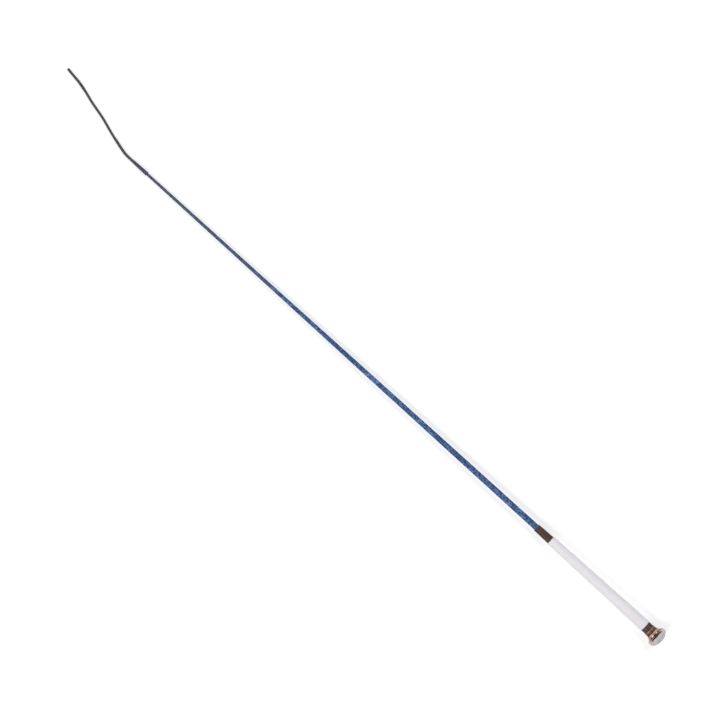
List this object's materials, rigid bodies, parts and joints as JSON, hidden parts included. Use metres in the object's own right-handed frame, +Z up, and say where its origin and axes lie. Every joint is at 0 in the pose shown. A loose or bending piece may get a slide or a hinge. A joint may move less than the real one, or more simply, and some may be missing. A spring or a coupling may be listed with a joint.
{
  "type": "dressage riding whip",
  "caption": "Long tapered riding whip with a braided shaft, leather grip, mushroom cap and a limp cord lash that swings at the tip.",
  "frame": {"origin": "on the surface that the whip lies on, under the middle of its rigid length (cap apex to the front of the tip binding)", "axes": "+X along the whip towards the tip, +Z up from the surface, the lash lies towards -Y"},
  "size_m": [1.0993, 0.0492, 0.029],
  "materials": {
    "glass_fibre": "ground glass-fibre rod",
    "blue_braid": "braided thread under clear lacquer",
    "inner_thread": "matt thread",
    "former_plastic": "moulded, matt",
    "grip_foam": "soft foam",
    "white_leather": "smooth, semi-matt",
    "brown_leather": "smooth, slightly glossy",
    "rose_gold": "polished rose-gold plate",
    "pearl": "satin pearl",
    "bush_plastic": "moulded, matt",
    "binding_thread": "waxed thread",
    "lash_cord": "braided cord, matt"
  },
  "bodies": {
    "whip": {"core_rod": "glass_fibre", "shaft_braid": "blue_braid", "braid_whipping": "inner_thread", "grip_former": "former_plastic", "grip_padding": "grip_foam", "grip_cover": "white_leather", "rear_collar": "brown_leather", "front_collar": "brown_leather", "cap_ferrule": "rose_gold", "cap_dome": "pearl", "cap_bush": "bush_plastic", "lash_root": "lash_cord", "lash_neck": "lash_cord", "tip_binding": "binding_thread"},
    "lash": {"lash": "lash_cord", "lash_end": "lash_cord"}
  },
  "joints": [
    {"name": "lash_swing", "type": "hinge", "parent": "whip", "child": "lash", "pos_m": [0.4836, 0, 0.00238], "axis": [0, 0, 1], "range_deg": [-75, 75]}
  ]
}
